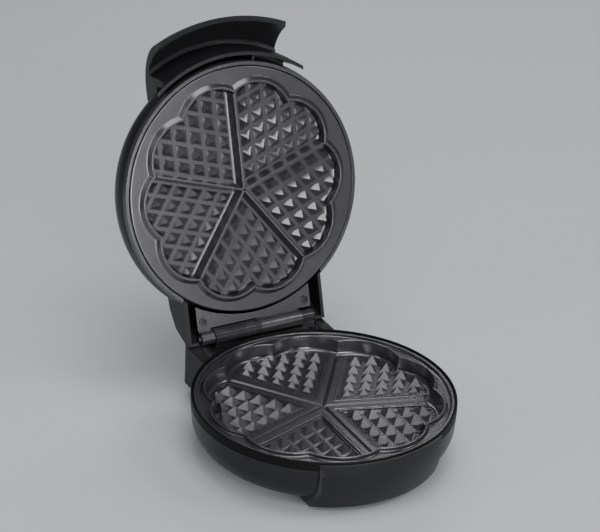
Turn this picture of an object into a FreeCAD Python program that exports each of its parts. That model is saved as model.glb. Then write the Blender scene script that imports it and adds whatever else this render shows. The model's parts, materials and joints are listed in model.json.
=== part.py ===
import FreeCAD, Part
import math
import os
import re
import Sketcher
from FreeCAD import Placement, Rotation, Vector

# Five-heart waffle maker, standing open.  Millimetres.  +Z up, -Y is the front (handle side), +Y the
# hinge side.  Pieces are drawn round the axis of the lower plate, those of the lid in their closed place
# and then turned open about the hinge pin.  Last, all of them are moved forward together, so that the
# origin lies on the table in the middle of the open object.

doc = FreeCAD.newDocument("waffle_maker")

# ---------------------------------------------------------------- driving sizes
SIZES = (
    ("middle_back", 49.8, "plate centre to the middle of the open object"),
    ("lip_height", 45.0, "table to the top of the batter lip"),
    ("foot_height", 7.0, "table to the underside of the bottom cover"),
    ("band_height", 6.4, "height of that band"),
    ("band_wall", 1.5, "its wall"),
    ("band_rise", 0.5, "band top above the batter lip"),
    ("shell_wall", 2.4, "moulded shells"),
    ("seam_gap", 0.3, "visible joint between moulded pieces"),
    ("part_gap", 0.4, "space left round a piece that drops in"),
    ("bowl_spread", 20.8, "how much wider the bowl gets from its floor to its top"),
    ("cover_wall", 2.5, "bottom cover"),
    ("lower_plate_radius", 93.9, "edge of the lower plate"),
    ("upper_inset", 3.0, "edge of the upper plate inside that of the lower one"),
    ("plate_wall", 3.5, "casting wall of both plates"),
    ("gutter_depth", 3.0, "overflow gutter below the lip"),
    ("rim_width", 2.3, "raised edge round the gutter"),
    ("lip_width", 1.6, "lip between gutter and batter recess"),
    ("gutter_width", 3.9, "gutter at the middle of a lobe"),
    ("lobe_share", 0.5958, "axis to the centre of a lobe's arc, as a share of the flower's reach"),
    ("recess_draft", 2.2, "how far the recess wall leans in"),
    ("recess_depth", 11.5, "lip to the floor of the lower recess"),
    ("lattice_pitch", 11.7, "from one lattice bar to the next"),
    ("lattice_bar", 2.9, "width of a lattice bar"),
    ("lower_first_bar", 20.4, "divider to the first bar, lower plate"),
    ("upper_first_bar", 14.0, "divider to the first bar, upper plate"),
    ("lower_pyramid", 6.0, "height of the lower pyramids"),
    ("upper_pyramid", 4.7, "height of the upper pyramids"),
    ("band_half", 7.7, "half width of a divider of the lower plate"),
    ("band_top", 2.1, "divider above the recess floor"),
    ("vee_half", 1.3, "half width of the divider's groove"),
    ("ring_clear", 0.35, "closed upper ring above the lip"),
    ("crest_drop", 2.7, "crest of the upper ridge below its ring"),
    ("crest_inset", 5.5, "crest inside the lip"),
    ("crest_width", 1.4, "flat top of the ridge"),
    ("ridge_spread", 3.2, "outer foot of the ridge beyond its crest"),
    ("ridge_draft", 1.6, "inner foot of the ridge inside its crest"),
    ("upper_floor", 7.2, "crest to the floor of the upper recess"),
    ("upper_divider", 2.8, "half width of an upper divider at its foot"),
    ("lid_rim_rise", 1.1, "lid rim above the lip when closed"),
    ("rim_joint", 0.7, "joint between the upper plate and the lid rim"),
    ("lid_rim_face", 2.4, "face of the lid rim"),
    ("lid_flare", 1.2, "widest part of the lid beyond that face"),
    ("lid_side", 4.6, "lip to the widest part, closed"),
    ("lid_height", 38.0, "lip to the top of the lid, closed"),
    ("hinge_stand", 9.2, "bowl to the hinge pin"),
    ("hinge_rise", 1.9, "lip to the hinge pin"),
    ("open_angle", 106.7, "lid opening"),
    ("pin_radius", 2.5, "hinge pin"),
    ("pin_clearance", 0.06, "running clearance of the lid's knuckles"),
    ("knuckle_radius", 6.0, "long knuckles"),
    ("end_knuckle_radius", 4.8, "short knuckles"),
    ("knuckle_length", 34.0, "long knuckles"),
    ("end_knuckle_length", 10.2, "short knuckles"),
    ("ring_half", 1.7, "half length of the spacer ring"),
    ("tower_cheek", 9.0, "end of the hinge leaf to the side of the tower"),
    ("tower_depth", 14.0, "hinge pin to the back of the tower"),
    ("tower_corner", 11.0, "its rear corners"),
    ("tower_drop", 5.8, "hinge pin to the top of the tower"),
    ("leaf_margin", 0.5, "hinge leaf and bracket beyond the last knuckle"),
    ("bracket_wall", 2.0, "sheet of leaf and bracket"),
    ("bracket_screw_inset", 4.8, "lid hinge screws in from the end of the bracket"),
    ("bracket_screw_set", 12.3, "lid hinge screws in front of the pin"),
    ("leaf_screw_inset", 5.4, "base hinge screws in from the end of the leaf"),
    ("leaf_screw_set", 10.4, "base hinge screws in front of the pin"),
    ("screw_radius", 1.5, "shank of the small screws"),
    ("head_radius", 3.0, "head of the small screws"),
    ("head_height", 1.2, "its height"),
    ("lug_bottom", 4.0, "table to the underside of the front lug"),
    ("lug_half", 49.0, "half width of the front lug"),
    ("lug_stand", 1.7, "front lug in front of the bowl"),
    ("lug_drop", 1.2, "its top below the top of the band"),
    ("handle_overhang", 31.8, "outside of the handle beyond the lid"),
    ("handle_wall", 3.9, "free edge of its lip"),
    ("handle_edge", 6.4, "batter lip to that edge, closed"),
    ("handle_crown", 36.9, "batter lip to the top of the handle, closed"),
    ("handle_half", 52.0, "half width of the handle"),
    ("hollow_reach", 12.0, "deepest line of the finger hollow beyond the lid"),
    ("hollow_height", 29.6, "batter lip to that line, closed"),
    ("flange_stand", 6.2, "front face of the handle's flange beyond the lid"),
    ("flange_wall", 2.6, "its thickness"),
    ("wing_half", 59.6, "half width of the flange at its free edge"),
    ("element_inset", 16.1, "ring of both heating elements inside the flower's reach"),
    ("element_radius", 3.3, "their tube"),
    ("dish_height", 5.0, "bottom cover to the base reflector"),
    ("dish_wall", 1.0, "sheet of both reflectors"),
    ("post_inset", 10.0, "plate posts inside the element's ring"),
    ("post_radius", 3.4, "plate posts"),
    ("gland_rise", 9.225, "cord gland above the feet, with a quarter of the tower's height added"),
    ("gland_radius", 7.0, "its barrel"),
    ("foot_radius", 8.0, "feet where they meet the base"),
    ("foot_tread", 6.5, "feet at the table"),
    ("lamp_reach", 52.0, "plate centre to the row of lamps"),
    ("lamp_spread", 12.0, "each lamp off the middle"),
    ("lamp_radius", 4.0, "lamp lens"),
)
# Sizes that follow from the driving ones, so that pieces which meet stay together.
WORKED = {
    "body_radius": "lower_plate_radius + part_gap + band_wall",
    "floor_radius": "body_radius - bowl_spread",
    "upper_plate_radius": "lower_plate_radius - upper_inset",
    "lid_rim_radius": "upper_plate_radius + rim_joint + lid_rim_face",
    "lid_radius": "lid_rim_radius + lid_flare",
    "flower_reach": "lower_plate_radius - rim_width - gutter_width - lip_width",
    "lobe_centre": "lobe_share * flower_reach",
    "lobe_radius": "flower_reach - lobe_centre",
    "element_circle": "flower_reach - element_inset",
    "hinge_back": "body_radius + hinge_stand",
    "tower_back": "hinge_back + tower_depth",
    "bracket_half": "ring_half + 2 * seam_gap + knuckle_length + end_knuckle_length + leaf_margin",
    "tower_half": "bracket_half + tower_cheek",
    "gland_height": "foot_height + gland_rise + (lip_height + hinge_rise - tower_drop - foot_height - 3) / 4",
    "handle_reach": "lid_radius + handle_overhang",
    "hollow_radius": "lid_radius + hollow_reach",
    "flange_radius": "lid_radius + flange_stand",
}
sheet = doc.addObject("Spreadsheet::Sheet", "Sizes")
for row, (alias, value, note) in enumerate(SIZES, 1):
    sheet.set("A%d" % row, note)
    sheet.set("B%d" % row, str(value))
    sheet.setAlias("B%d" % row, alias)


def bound(expression):
    """Names of sizes in an expression, pointed at the place that holds them."""
    def held(word):
        return ("Worked." if word.group() in WORKED else "Sizes.") + word.group()
    return re.sub(r"(?!cos|sin|deg)\b[a-z]\w+", held, expression)


def written_out(expression):
    """An expression with each worked size replaced by what it is worked out from."""
    for name in reversed(list(WORKED)):
        expression = re.sub(r"\b%s\b" % name, "(%s)" % WORKED[name], expression)
    return expression


worked = doc.addObject("App::VarSet", "Worked")
for name, expression in WORKED.items():
    worked.addProperty("App::PropertyFloat", name)
    worked.setExpression(name, bound(written_out(expression)))
doc.recompute()


def size(name):
    return float(getattr(worked, name) if name in WORKED else sheet.get(name))


LIP = size("lip_height")
HINGE = Vector(0, size("hinge_back"), LIP + size("hinge_rise"))
OPEN = Placement(Vector(), Rotation(Vector(1, 0, 0), -size("open_angle")), HINGE)
SHUT = Placement()
FORWARD = Placement(Vector(0, -size("middle_back"), 0), Rotation())
X, Y, Z = Vector(1, 0, 0), Vector(0, 1, 0), Vector(0, 0, 1)
pieces = []


# ---------------------------------------------------------------- ways of making a piece
def keep(piece, label, pose=SHUT):
    """Name a piece and set it in its place; one whose own place is bound to sizes moves inside a group."""
    if piece.TypeId in ("Part::Cylinder", "Part::Box"):
        group = doc.addObject("Part::Compound", label)
        group.Links = [piece]
        piece = group
    piece.Label = label
    piece.Placement = FORWARD.multiply(pose).multiply(piece.Placement)
    pieces.append(piece)
    return piece


def solid_piece(label, shape, pose=SHUT):
    """A piece whose shape comes from formulas rather than from sketches."""
    feature = doc.addObject("Part::Feature", label)
    feature.Shape = shape
    return keep(feature, label, pose)


def outline(body, plane, corners, lift=None):
    """Closed sketch of straight edges; each corner sits at two expressions, None meaning on the axis."""
    sketch = body.newObject("Sketcher::SketchObject", body.Name + "_outline")
    support = next(item for item in body.Origin.OriginFeatures if item.Role == plane)
    sketch.AttachmentSupport = [(support, "")]
    sketch.MapMode = "FlatFace"
    if lift:
        sketch.setExpression("AttachmentOffset.Base.z", bound(lift))
    count = len(corners)
    start = [Vector(40 * math.cos(turn), 40 * math.sin(turn), 0)
             for turn in (2 * math.pi * (index + 0.25) / count for index in range(count))]
    for index in range(count):
        sketch.addGeometry(Part.LineSegment(start[index], start[(index + 1) % count]), False)
    for index in range(count):
        sketch.addConstraint(Sketcher.Constraint("Coincident", index, 2, (index + 1) % count, 1))
        for kind, where, expression, axis in (("DistanceX", start[index].x, corners[index][0], -2),
                                              ("DistanceY", start[index].y, corners[index][1], -1)):
            if expression is None:
                sketch.addConstraint(Sketcher.Constraint("PointOnObject", index, 1, axis))
            else:
                held = sketch.addConstraint(Sketcher.Constraint(kind, -1, 1, index, 1, where))
                sketch.setExpression("Constraints[%d]" % held, bound(expression))
    return sketch


def discs(body, plane, circles, lift=None):
    """Sketch of circles, each given as (x, y, radius) expressions."""
    sketch = body.newObject("Sketcher::SketchObject", body.Name + "_discs")
    support = next(item for item in body.Origin.OriginFeatures if item.Role == plane)
    sketch.AttachmentSupport = [(support, "")]
    sketch.MapMode = "FlatFace"
    if lift:
        sketch.setExpression("AttachmentOffset.Base.z", bound(lift))
    for index, (across, along, radius) in enumerate(circles):
        sketch.addGeometry(Part.Circle(Vector(5 + index, 5, 0), Z, 1.0 + index), False)
        for kind, where, expression, axis in (("DistanceX", 5 + index, across, -2),
                                              ("DistanceY", 5, along, -1)):
            if expression is None:
                sketch.addConstraint(Sketcher.Constraint("PointOnObject", index, 3, axis))
            else:
                held = sketch.addConstraint(Sketcher.Constraint(kind, -1, 1, index, 3, where))
                sketch.setExpression("Constraints[%d]" % held, bound(expression))
        held = sketch.addConstraint(Sketcher.Constraint("Radius", index, 1.0 + index))
        sketch.setExpression("Constraints[%d]" % held, bound(radius))
    return sketch


def turned(label, corners, pose=SHUT):
    """A ring or disc: an outline in the XZ plane turned about Z."""
    body = doc.addObject("PartDesign::Body", label)
    sketch = outline(body, "XZ_Plane", corners)
    turn = body.newObject("PartDesign::Revolution", label + "_turn")
    turn.Profile = sketch
    turn.ReferenceAxis = (sketch, ["V_Axis"])
    turn.Angle = 360
    return keep(body, label, pose)


def pocket(body, sketch, both=True):
    """Cut a sketch through the whole body and make sure that something was cut."""
    doc.recompute()
    before = body.Shape.Volume
    feature = body.newObject("PartDesign::Pocket", body.Name + "_pocket")
    feature.Profile = sketch
    feature.Type = "ThroughAll"
    if both:
        feature.SideType = "Symmetric"
    doc.recompute()
    if body.Shape.Volume >= before:
        raise ValueError(body.Name + ": the pocket cut nothing")
    return feature


def cylinder(name, radius, length, place, axis=Z):
    """Part::Cylinder with bound sizes; place is three expressions."""
    item = doc.addObject("Part::Cylinder", name)
    item.setExpression("Radius", bound(radius))
    item.setExpression("Height", bound(length))
    item.Placement.Rotation = Rotation(Z, axis)
    for letter, expression in zip("xyz", place):
        item.setExpression("Placement.Base." + letter, bound(expression))
    return item


def box(name, across, along, up):
    """Part::Box between pairs of expressions."""
    item = doc.addObject("Part::Box", name)
    for span, letter, (low, high) in zip(("Length", "Width", "Height"), "xyz", (across, along, up)):
        item.setExpression("Placement.Base." + letter, bound(low))
        item.setExpression(span, bound("(%s) - (%s)" % (high, low)))
    return item


def joined(name, items):
    fuse = doc.addObject("Part::MultiFuse", name)
    fuse.Shapes = items
    return fuse


def cut(name, base, tool):
    feature = doc.addObject("Part::Cut", name)
    feature.Base, feature.Tool = base, tool
    return feature


def screws(label, places, length, pose=SHUT, axis=Z):
    """Round-headed screws, heads on the far side of axis from the shank, as separate solids."""
    made = []
    for index, place in enumerate(places):
        name = "%s_%d" % (label, index)
        sunk = ["(%s) - (%s) * %d" % (spot, length, part)
                for spot, part in zip(place, (axis.x, axis.y, axis.z))]
        shank = cylinder(name + "_shank", "screw_radius", length, sunk, axis)
        head = cylinder(name + "_head", "head_radius", "head_height", place, axis)
        made.append(joined(name, [shank, head]))
    group = doc.addObject("Part::Compound", label)
    group.Links = made
    return keep(group, label, pose)


# ---------------------------------------------------------------- the flower of five hearts
HEARTS = 5
HALF_TURN = math.pi / HEARTS          # a divider and the cleft next to it are this far apart


def spoke(turn, reach, height=0.0):
    """Point at a distance from the axis, turned from the front divider."""
    angle = turn - math.pi / 2
    return Vector(reach * math.cos(angle), reach * math.sin(angle), height)


def flower_wire(arc, height):
    """Ten equal lobes; arc is the radius of each lobe about its own centre."""
    centre = size("lobe_centre")
    half = HALF_TURN / 2
    notch = centre * math.cos(half) + math.sqrt(arc ** 2 - (centre * math.sin(half)) ** 2)
    edges = []
    for lobe in range(2 * HEARTS):
        turn = lobe * HALF_TURN
        edges.append(Part.Arc(spoke(turn, notch, height), spoke(turn + half, centre + arc, height),
                              spoke(turn + HALF_TURN, notch, height)).toShape())
    return Part.Wire(edges)


def flower(arc, low, high, high_arc=None):
    """Flower between two heights; its wall leans when high_arc differs from arc."""
    if high_arc is None:
        return Part.Face(flower_wire(arc, low)).extrude(Vector(0, 0, high - low))
    return Part.makeLoft([flower_wire(arc, low), flower_wire(high_arc, high)], True, True)


def disc(radius, low, high):
    return Part.makeCylinder(radius, high - low, Vector(0, 0, low))


def prism(corners, direction):
    """Straight-edged outline pushed along a direction."""
    return Part.Face(Part.makePolygon(corners + corners[:1])).extrude(direction)


def heart_point(first, second):
    """Point at given distances from the two dividers of the front right heart."""
    lean = math.cos(2 * HALF_TURN)
    normal_one, normal_two = Vector(1, 0, 0), Vector(-lean, -math.sin(2 * HALF_TURN), 0)
    share = 1 - lean ** 2
    return ((normal_one + normal_two * lean) * (first / share)
            + (normal_two + normal_one * lean) * (second / share))


def pyramids(arc, edge, first_bar, floor, rise):
    """Pyramids of one heart on its slanted lattice, trimmed to the pad, rooted a little below its floor."""
    pitch, half_bar = size("lattice_pitch"), size("lattice_bar") / 2
    root = -0.3 * math.copysign(1, rise)
    rows = [(max(edge, first_bar + half_bar + pitch * (step - 1)), first_bar - half_bar + pitch * step)
            for step in range(7)]
    made = []
    for low, high in rows:
        for left, right in rows:
            peak = heart_point((low + high) / 2, (left + right) / 2) + Vector(0, 0, floor + rise)
            if peak.x ** 2 + peak.y ** 2 > (size("lobe_centre") + arc) ** 2:
                continue
            base = [heart_point(a, b) + Vector(0, 0, floor)
                    for a, b in ((low, left), (high, left), (high, right), (low, right))]
            base = [peak + (corner - peak) * (1 - root / rise) for corner in base]
            faces = [Part.Face(Part.makePolygon(base + base[:1]))]
            faces += [Part.Face(Part.makePolygon([a, b, peak, a]))
                      for a, b in zip(base, base[1:] + base[:1])]
            made.append(Part.Solid(Part.Shell(faces)))
    low, high = sorted((floor + root, floor + rise))
    pad_area = flower(arc, low - 1, high + 1)
    return [item for item in Part.makeCompound(made).common(pad_area).Solids if item.Volume > 2]


def round_the_flower(items):
    """The same pieces in all five hearts."""
    return [item.rotated(Vector(), Z, 72 * heart) for heart in range(HEARTS) for item in items]


# ---------------------------------------------------------------- lower plate
def lower_plate():
    lip_arc, draft = size("lobe_radius"), size("recess_draft")
    floor = LIP - size("recess_depth")
    gutter = LIP - size("gutter_depth")
    radius, wall = size("lower_plate_radius"), size("plate_wall")
    tray = disc(radius, gutter - wall, LIP - 0.6)
    tray = tray.cut(disc(radius - size("rim_width"), gutter, LIP + 1))
    outer_arc = lip_arc + size("lip_width")
    plate = tray.fuse([flower(outer_arc, gutter - 1, LIP), flower(outer_arc, floor - wall, gutter - 1)])
    plate = plate.cut(flower(lip_arc - draft, floor, LIP + 0.01, lip_arc))
    half, top, vee = size("band_half"), floor + size("band_top"), size("vee_half")
    reach = size("lobe_centre") + lip_arc - draft - 9.4
    section = [Vector(-half, 0, floor - 0.5), Vector(half, 0, floor - 0.5), Vector(half, 0, top),
               Vector(vee, 0, top), Vector(0, 0, top - 1.6), Vector(-vee, 0, top), Vector(-half, 0, top)]
    bar = prism(section, Vector(0, -reach, 0))
    lattice = pyramids(lip_arc - draft - 1.6, half + 1.4, size("lower_first_bar"), floor,
                       size("lower_pyramid"))
    return plate.fuse(round_the_flower([bar] + lattice)).removeSplitter()


# ---------------------------------------------------------------- upper plate, closed place
def upper_plate():
    ring = LIP + size("ring_clear")
    crest = ring - size("crest_drop")
    floor = crest + size("upper_floor")
    crest_arc, half_crest = size("lobe_radius") - size("crest_inset"), size("crest_width") / 2
    wall = size("plate_wall")
    foot_arc = crest_arc - half_crest - size("ridge_draft")
    plate = disc(size("upper_plate_radius"), ring, ring + wall)
    plate = plate.fuse([flower(crest_arc + size("ridge_spread"), ring + wall - 1, floor + wall),
                        flower(crest_arc + half_crest, crest, ring + 1,
                               crest_arc + size("ridge_spread"))])
    plate = plate.cut(flower(crest_arc - half_crest, crest - 0.01, floor, foot_arc))
    half = size("upper_divider")
    reach = size("lobe_centre") + crest_arc - 7.6
    section = [Vector(-half_crest, 0, crest), Vector(half_crest, 0, crest), Vector(half, 0, floor + 0.5),
               Vector(-half, 0, floor + 0.5)]
    bar = prism(section, Vector(0, -reach, 0))
    lattice = pyramids(foot_arc - 0.8, half + 2.6, size("upper_first_bar"), floor, -size("upper_pyramid"))
    return plate.fuse(round_the_flower([bar] + lattice)).removeSplitter()


solid_piece("lower_plate", lower_plate())
solid_piece("upper_plate", upper_plate(), OPEN)

# ---------------------------------------------------------------- base casing
def bowl(inset):
    """The bowl of the base, from its floor to the underside of the band."""
    radius, floor = size("floor_radius"), size("foot_height")
    top = LIP + size("band_rise") - size("band_height") - size("seam_gap")
    side = size("body_radius")
    low, bend, high = (Vector(radius, 0, floor), Vector(side - 7.5, 0, floor + 6.5),
                       Vector(side - 0.8, 0, floor + 20))
    wall = Part.Arc(low, bend, high).toShape()
    path = Part.Wire([Part.makeLine(Vector(0, 0, floor), low), wall,
                      Part.makeLine(high, Vector(side, 0, top)),
                      Part.makeLine(Vector(side, 0, top), Vector(0, 0, top)),
                      Part.makeLine(Vector(0, 0, top), Vector(0, 0, floor))])
    whole = Part.Face(path).revolve(Vector(), Z, 360)
    return whole if inset == 0 else hollow_form(whole, inset, top)


def hollow_form(whole, inset, top):
    """The same form shrunk by a wall and left open upward."""
    box_of = whole.BoundBox
    across = 1 - inset / (box_of.XLength / 2)
    shrink = FreeCAD.Matrix()
    shrink.A11 = shrink.A22 = across
    shrink.A34 = inset
    inner = whole.transformGeometry(shrink)
    return inner.fuse(disc(size("body_radius") - inset, top - 2, top + 1))


def tower(inset):
    """Block behind the bowl that carries the hinge, round at its rear corners."""
    half, back = size("tower_half") - inset, size("tower_back") - inset
    corner = size("tower_corner") - inset
    low, high = size("foot_height") + 3 + inset, HINGE.z - size("tower_drop") - inset
    block = Part.makeBox(2 * half, back - 55, high - low, Vector(-half, 55, low))
    upright = [edge for edge in block.Edges
               if edge.BoundBox.ZLength > high - low - 0.1 and edge.BoundBox.YMin > back - 0.1]
    return block.makeFillet(corner, upright)


COVER_TURNS = [math.radians(90 * quarter) for quarter in range(4)]


def cover_screw_circle():
    return size("floor_radius") - 8


def lower_housing():
    wall, gap = size("shell_wall"), size("part_gap")
    band_low = LIP + size("band_rise") - size("band_height") - size("seam_gap")
    casing = bowl(0).fuse(tower(0)).cut(bowl(wall)).cut(tower(wall))
    casing = casing.cut(disc(size("body_radius") + size("seam_gap"), band_low, LIP + 20))
    casing = casing.cut(disc(size("floor_radius") - 2, 0, size("foot_height") + size("cover_wall")))
    seat_level = LIP - size("gutter_depth") - size("plate_wall")
    ledge = disc(size("body_radius") - wall / 2, seat_level - wall, seat_level).cut(
        disc(size("lower_plate_radius") - 5, seat_level - 4, seat_level + 1))
    cover_top = size("foot_height") + size("cover_wall")
    floor_ring = disc(size("floor_radius") + 2, cover_top, cover_top + wall).cut(
        disc(size("floor_radius") - 12, cover_top - 1, cover_top + wall + 1))
    deck = HINGE.z - size("knuckle_radius") - size("seam_gap") - size("bracket_wall")
    half = size("bracket_half") + 2 * gap
    seat = Part.makeBox(2 * half, HINGE.y + 7.5 - 60, 30, Vector(-half, 60, deck))
    shelf = Part.makeBox(2 * half + 2, HINGE.y + 7.5 - 60, wall, Vector(-half - 1, 60, deck - wall))
    shelf = shelf.cut(disc(size("body_radius") - wall, 0, 60))
    casing = casing.cut(seat.cut(disc(size("body_radius") + size("seam_gap"), 0, 60)))
    casing = casing.fuse([ledge, floor_ring, shelf.cut(disc(size("body_radius"), band_low, 60))])
    casing = casing.cut(disc(size("lower_plate_radius") + gap, seat_level, 60))
    gland = Part.makeCylinder(size("gland_radius") + gap / 4, 20,
                              Vector(0, size("tower_back") - 10, size("gland_height")), Y)
    leaf_screw = size("bracket_half") - size("leaf_screw_inset")
    holes = [Part.makeCylinder(size("screw_radius") + 0.05, 9,
                               Vector(side * leaf_screw, HINGE.y - size("leaf_screw_set"), deck - 6))
             for side in (-1, 1)]
    holes += [Part.makeCylinder(size("screw_radius"), 9, spoke(turn, cover_screw_circle(), cover_top - 1))
              for turn in COVER_TURNS]
    return casing.cut([gland] + holes).removeSplitter()


solid_piece("lower_housing", lower_housing())

turned("base_band", [
    ("body_radius - band_wall", "lip_height + band_rise - band_height"),
    ("body_radius", "lip_height + band_rise - band_height"),
    ("body_radius", "lip_height + band_rise - 0.4"),
    ("body_radius - 0.4", "lip_height + band_rise"),
    ("body_radius - band_wall", "lip_height + band_rise"),
])

cover = turned("bottom_cover", [
    (None, "foot_height"),
    ("floor_radius - 2 - part_gap", "foot_height"),
    ("floor_radius - 2 - part_gap", "foot_height + cover_wall"),
    (None, "foot_height + cover_wall"),
])
pocket(cover, discs(cover, "XY_Plane", [
    ("(26 + 8 * %d) * cos(%d deg)" % (ring, turn), "(26 + 8 * %d) * sin(%d deg)" % (ring, turn), "2.2")
    for ring in range(2) for turn in range(0, 360, 30)] + [
    ("(floor_radius - 8) * cos(%d deg)" % turn, "(floor_radius - 8) * sin(%d deg)" % turn,
     "screw_radius + 0.05") for turn in (0, 90, 180, 270)]))

screws("bottom_screws", [("(floor_radius - 8) * cos(%d deg)" % turn, "(floor_radius - 8) * sin(%d deg)" % turn,
                          "foot_height") for turn in (0, 90, 180, 270)], "4.6", axis=Vector(0, 0, -1))


def feet(label, height, places):
    """Rubber feet: round pads, wider at the top."""
    made = []
    for index, place in enumerate(places):
        foot = doc.addObject("Part::Cone", "%s_%d" % (label, index))
        foot.setExpression("Radius1", bound("foot_tread"))
        foot.setExpression("Radius2", bound("foot_radius"))
        foot.setExpression("Height", bound(height))
        for letter, expression in zip("xyz", place):
            foot.setExpression("Placement.Base." + letter, bound(expression))
        made.append(foot)
    group = doc.addObject("Part::Compound", label)
    group.Links = made
    return keep(group, label)


feet("front_feet", "foot_height", [("%d * 0.56 * floor_radius" % side, "-0.56 * floor_radius", "0")
                                   for side in (-1, 1)])
feet("rear_feet", "foot_height + 3", [("%d * (tower_half - 16)" % side, "tower_back - 14", "0")
                                      for side in (-1, 1)])


def front_lug():
    """Apron that stands in front of the bowl and its band and comes close to the table."""
    half, low = size("lug_half"), size("lug_bottom")
    top = LIP + size("band_rise") - size("lug_drop")
    radius = size("body_radius") + size("lug_stand")
    face = Part.Arc(Vector(radius - 10.5, 0, low), Vector(radius - 2.6, 0, (low + top) / 2 - 4),
                    Vector(radius, 0, top)).toShape()
    path = Part.Wire([face, Part.makeLine(Vector(radius, 0, top), Vector(60, 0, top)),
                      Part.makeLine(Vector(60, 0, top), Vector(60, 0, low)),
                      Part.makeLine(Vector(60, 0, low), Vector(radius - 10.5, 0, low))])
    apron = Part.Face(path).revolve(Vector(), Z, 360)
    apron = apron.common(Part.makeBox(2 * half, 80, 60, Vector(-half, -110, 0)))
    casing = bowl(0).fuse([disc(size("floor_radius"), 0, size("foot_height") + 0.01),
                           disc(size("body_radius"), LIP - size("band_height") - 2, LIP + 2)])
    grown = FreeCAD.Matrix()
    grown.A11 = grown.A22 = 1 + 0.05 / radius
    return apron.cut(casing.transformGeometry(grown)).removeSplitter()


solid_piece("front_lug", front_lug())

turned("cord_gland", [
    ("0.5 * gland_radius", "0"), ("gland_radius + 2.5", "0"), ("gland_radius + 2.5", "2.2"),
    ("gland_radius", "2.2"), ("gland_radius", "2.4 + shell_wall"), ("gland_radius + 1.6", "2.4 + shell_wall"),
    ("gland_radius + 1.6", "4.6 + shell_wall"), ("0.5 * gland_radius", "4.6 + shell_wall")],
    Placement(Vector(0, size("tower_back") + 2.3, size("gland_height")), Rotation(Z, Vector(0, -1, 0))))

# ---------------------------------------------------------------- inside the base
UNDER = "lip_height - recess_depth - plate_wall"
POST_CIRCLE = "(element_circle - post_inset)"
POSTS = [(POST_CIRCLE + " * cos(%d deg)" % turn, POST_CIRCLE + " * sin(%d deg)" % turn)
         for turn in (90, 210, 330)]
DISH = "foot_height + cover_wall + dish_height"
reflector = turned("lower_reflector", [
    ("16", DISH), ("body_radius - 12.8", DISH),
    ("body_radius - 6.8", DISH + " + 7"), ("body_radius - 6.8", DISH + " + 7 + dish_wall"),
    ("body_radius - 13.2", DISH + " + dish_wall"), ("16", DISH + " + dish_wall")])
pocket(reflector, discs(reflector, "XY_Plane", [post + ("screw_radius + 0.05",) for post in POSTS]))
screws("lower_plate_screws", [post + (DISH,) for post in POSTS], UNDER + " - (" + DISH + ")",
       axis=Vector(0, 0, -1))
tubes = doc.addObject("Part::Compound", "tubes")
tubes.Links = [cut("post_%d" % index,
                   cylinder("post_%d_wall" % index, "post_radius", UNDER + " - (" + DISH + ") - dish_wall",
                            post + (DISH + " + dish_wall",)),
                   cylinder("post_%d_bore" % index, "screw_radius + 0.05", "40", post + (DISH,)))
               for index, post in enumerate(POSTS)]
keep(tubes, "plate_posts")


def element(label, height, pose=SHUT):
    """Tubular heating ring, open at the back where its two ends turn inward."""
    tube, circle = size("element_radius"), size("element_circle")
    ends = [math.radians(90 + side * 14) for side in (-1, 1)]
    first, last = [Vector(circle * math.cos(a), circle * math.sin(a), height) for a in ends]
    ring = Part.Arc(first, Vector(0, -circle, height), last).toShape()
    section = Part.Wire(Part.makeCircle(tube, first, Vector(-math.sin(ends[0]), math.cos(ends[0]), 0)))
    bent = Part.Wire([ring]).makePipeShell([section], True, True)
    legs = []
    for point in (first, last):
        legs.append(Part.makeCylinder(tube * 0.45, 12, point, Vector(0, 1, 0)))
    return solid_piece(label, bent.fuse(legs), pose)


element("lower_heating_element", LIP - size("recess_depth") - size("plate_wall") - size("element_radius"))
keep(cylinder("thermostat_body", "11", "7", ("0", "0", UNDER + " - 7")), "thermostat")
fuse_case = cylinder("thermal_fuse_body", "2.6", "16", ("-8", "26", UNDER + " - 2.6"), X)
keep(fuse_case, "thermal_fuse")
LEG = "element_circle * sin(14 deg)"              # the element's two ends, off the middle
BLOCK_TOP = UNDER + " - 2 * element_radius"
keep(box("terminal_base", ("-(%s) - 3" % LEG, LEG + " + 3"), ("tower_back - 21", "tower_back - 9"),
         ("foot_height + cover_wall + shell_wall + 0.5", BLOCK_TOP)), "terminal_block")
keep(joined("leads", [
    box("lead_%s" % side, ("%s(%s) - 1.2" % (sign, LEG), "%s(%s) + 1.2" % (sign, LEG)),
        ("element_circle * cos(14 deg) + 12.1", "tower_back - 11"), (BLOCK_TOP, BLOCK_TOP + " + 2.6"))
    for side, sign in (("left", "-"), ("right", ""))]), "base_leads")


# ---------------------------------------------------------------- hinge
def knuckle(name, low, high, radius, bore):
    """Tube along X between two expressions, round the hinge pin."""
    place = (low, "hinge_back", "lip_height + hinge_rise")
    length = "(%s) - (%s)" % (high, low)
    tube = cylinder(name + "_tube", radius, length, place, X)
    hole = cylinder(name + "_bore", bore, length, place, X)
    return tube, hole


LONG_END = "ring_half + seam_gap + knuckle_length"
SHORT_START = LONG_END + " + seam_gap"
SHORT_END = SHORT_START + " + end_knuckle_length"
keep(cylinder("pin_rod", "pin_radius", "2 * (%s) - 2" % SHORT_END,
              ("1 - (%s)" % SHORT_END, "hinge_back", "lip_height + hinge_rise"), X), "hinge_pin")
ring_tube, ring_hole = knuckle("ring", "-ring_half", "ring_half", "knuckle_radius + 0.25", "pin_radius + 0.02")
keep(cut("ring_cut", ring_tube, ring_hole), "spacer_ring")


def leaf_blank(name, low, high, back, front):
    return box(name, ("-bracket_half", "bracket_half"), (front, back), (low, high))


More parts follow.
